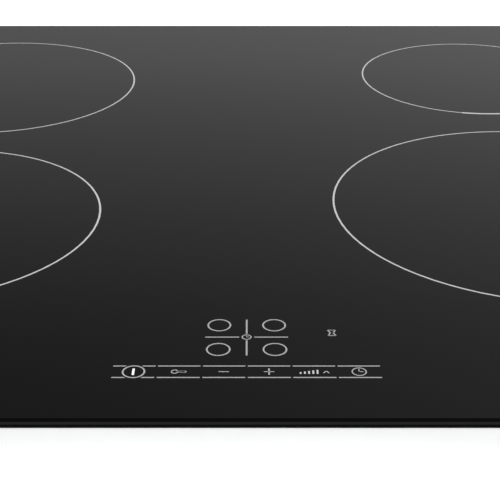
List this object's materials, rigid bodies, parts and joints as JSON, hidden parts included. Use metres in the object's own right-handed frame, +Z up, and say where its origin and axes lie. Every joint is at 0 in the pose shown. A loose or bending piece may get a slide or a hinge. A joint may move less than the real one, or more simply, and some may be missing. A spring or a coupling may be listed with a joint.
{
  "type": "induction hob",
  "caption": "Flush black glass induction hob with printed round cooking zones, front touch controls and a shallow drop-in housing.",
  "frame": {"origin": "centre of the hob in plan, on the underside of its housing", "axes": "+X to the user's right along the front edge, +Y from the front edge to the rear, +Z up through the glass"},
  "size_m": [0.592, 0.522, 0.051],
  "materials": {
    "black_glass": "polished black glass ceramic",
    "white_enamel": "fired enamel print",
    "black_silicone": "matt silicone",
    "seal_foam": "closed-cell foam",
    "mica": "pressed mica sheet",
    "zinc_steel": "galvanised sheet",
    "sheet_aluminium": "rolled sheet",
    "coil_carrier_plastic": "heat-resistant moulding",
    "litz_copper": "bunched enamelled copper strands",
    "ferrite": "sintered",
    "sensor_silicone": "moulded silicone",
    "spring_steel": "sprung strip",
    "circuit_board": "green solder mask",
    "heatsink_aluminium": "extruded",
    "epoxy_package": "moulded epoxy",
    "capacitor_case": "moulded case",
    "copper_winding": "enamelled copper",
    "yellow_case": "moulded case",
    "blower_plastic": "glass-filled moulding",
    "motor_case": "black steel cup",
    "fan_plastic": "moulded",
    "carrier_plastic": "moulded",
    "touch_foam": "conductive foam",
    "display_red": "tinted lens",
    "terminal_plastic": "moulded polyamide",
    "flap_plastic": "moulded polyamide",
    "bright_steel": "turned",
    "grommet_rubber": "moulded",
    "clamp_steel": "sprung strip"
  },
  "bodies": {
    "hob": {"glass_panel": "black_glass", "zone_print": "white_enamel", "control_print": "white_enamel", "glass_bond": "black_silicone", "worktop_seal": "seal_foam", "insulation_discs": "mica", "housing_tray": "zinc_steel", "coil_support_plate": "sheet_aluminium", "springs_front_left": "spring_steel", "springs_rear_left": "spring_steel", "springs_front_right": "spring_steel", "springs_rear_right": "spring_steel", "power_board_left": "circuit_board", "power_board_right": "circuit_board", "heatsink_left": "heatsink_aluminium", "heatsink_right": "heatsink_aluminium", "transistors_left": "epoxy_package", "transistors_right": "epoxy_package", "capacitors_left": "capacitor_case", "capacitors_right": "capacitor_case", "filter_board": "circuit_board", "filter_choke": "copper_winding", "filter_capacitors": "yellow_case", "blower_housing_left": "blower_plastic", "blower_housing_right": "blower_plastic", "fan_motor_left": "motor_case", "fan_motor_right": "motor_case", "control_carrier": "carrier_plastic", "control_board": "circuit_board", "touch_pads": "touch_foam", "displays": "display_red", "terminal_box": "terminal_plastic", "terminal_block": "terminal_plastic", "flap_hinge_pin": "bright_steel", "cable_grommet": "grommet_rubber", "clamp_screws": "bright_steel", "housing_screws": "bright_steel"},
    "coil_front_left": {"carrier_front_left": "coil_carrier_plastic", "winding_front_left": "litz_copper", "ferrites_front_left": "ferrite", "sensor_front_left": "sensor_silicone"},
    "coil_rear_left": {"carrier_rear_left": "coil_carrier_plastic", "winding_rear_left": "litz_copper", "ferrites_rear_left": "ferrite", "sensor_rear_left": "sensor_silicone"},
    "coil_front_right": {"carrier_front_right": "coil_carrier_plastic", "winding_front_right": "litz_copper", "ferrites_front_right": "ferrite", "sensor_front_right": "sensor_silicone"},
    "coil_rear_right": {"carrier_rear_right": "coil_carrier_plastic", "winding_rear_right": "litz_copper", "ferrites_rear_right": "ferrite", "sensor_rear_right": "sensor_silicone"},
    "fan_wheel_left": {"fan_wheel_left": "fan_plastic"},
    "fan_wheel_right": {"fan_wheel_right": "fan_plastic"},
    "terminal_flap": {"terminal_flap": "flap_plastic"},
    "clamp_front_left": {"clamp_front_left": "clamp_steel"},
    "clamp_rear_left": {"clamp_rear_left": "clamp_steel"},
    "clamp_front_right": {"clamp_front_right": "clamp_steel"},
    "clamp_rear_right": {"clamp_rear_right": "clamp_steel"}
  },
  "joints": [
    {"name": "coil_front_left_float", "type": "slide", "parent": "hob", "child": "coil_front_left", "axis": [0, 0, 1], "range_m": [-0.003, 0], "stiffness_N_per_m": 4000, "springref_m": 0.006, "deforming": ["springs_front_left"]},
    {"name": "coil_rear_left_float", "type": "slide", "parent": "hob", "child": "coil_rear_left", "axis": [0, 0, 1], "range_m": [-0.003, 0], "stiffness_N_per_m": 4000, "springref_m": 0.006, "deforming": ["springs_rear_left"]},
    {"name": "coil_front_right_float", "type": "slide", "parent": "hob", "child": "coil_front_right", "axis": [0, 0, 1], "range_m": [-0.003, 0], "stiffness_N_per_m": 4000, "springref_m": 0.006, "deforming": ["springs_front_right"]},
    {"name": "coil_rear_right_float", "type": "slide", "parent": "hob", "child": "coil_rear_right", "axis": [0, 0, 1], "range_m": [-0.003, 0], "stiffness_N_per_m": 4000, "springref_m": 0.006, "deforming": ["springs_rear_right"]},
    {"name": "fan_left_spin", "type": "hinge", "parent": "hob", "child": "fan_wheel_left", "pos_m": [-0.14, 0.178, 0.01], "axis": [0, 0, 1], "continuous": true},
    {"name": "fan_right_spin", "type": "hinge", "parent": "hob", "child": "fan_wheel_right", "pos_m": [0.19, 0.178, 0.01], "axis": [0, 0, 1], "continuous": true},
    {"name": "terminal_flap_hinge", "type": "hinge", "parent": "hob", "child": "terminal_flap", "pos_m": [0.031, 0.2423, 0.038], "axis": [1, 0, 0], "range_deg": [0, 95]},
    {"name": "clamp_front_left_flex", "type": "hinge", "parent": "hob", "child": "clamp_front_left", "pos_m": [-0.2685, -0.125, 0.007], "axis": [0, 1, 0], "range_deg": [0, 8], "stiffness_Nm_per_rad": 1.5, "springref_deg": -6.88},
    {"name": "clamp_rear_left_flex", "type": "hinge", "parent": "hob", "child": "clamp_rear_left", "pos_m": [-0.2685, 0.15, 0.007], "axis": [0, 1, 0], "range_deg": [0, 8], "stiffness_Nm_per_rad": 1.5, "springref_deg": -6.88},
    {"name": "clamp_front_right_flex", "type": "hinge", "parent": "hob", "child": "clamp_front_right", "pos_m": [0.2685, -0.125, 0.007], "axis": [0, -1, 0], "range_deg": [0, 8], "stiffness_Nm_per_rad": 1.5, "springref_deg": -6.88},
    {"name": "clamp_rear_right_flex", "type": "hinge", "parent": "hob", "child": "clamp_rear_right", "pos_m": [0.2685, 0.15, 0.007], "axis": [0, -1, 0], "range_deg": [0, 8], "stiffness_Nm_per_rad": 1.5, "springref_deg": -6.88}
  ]
}
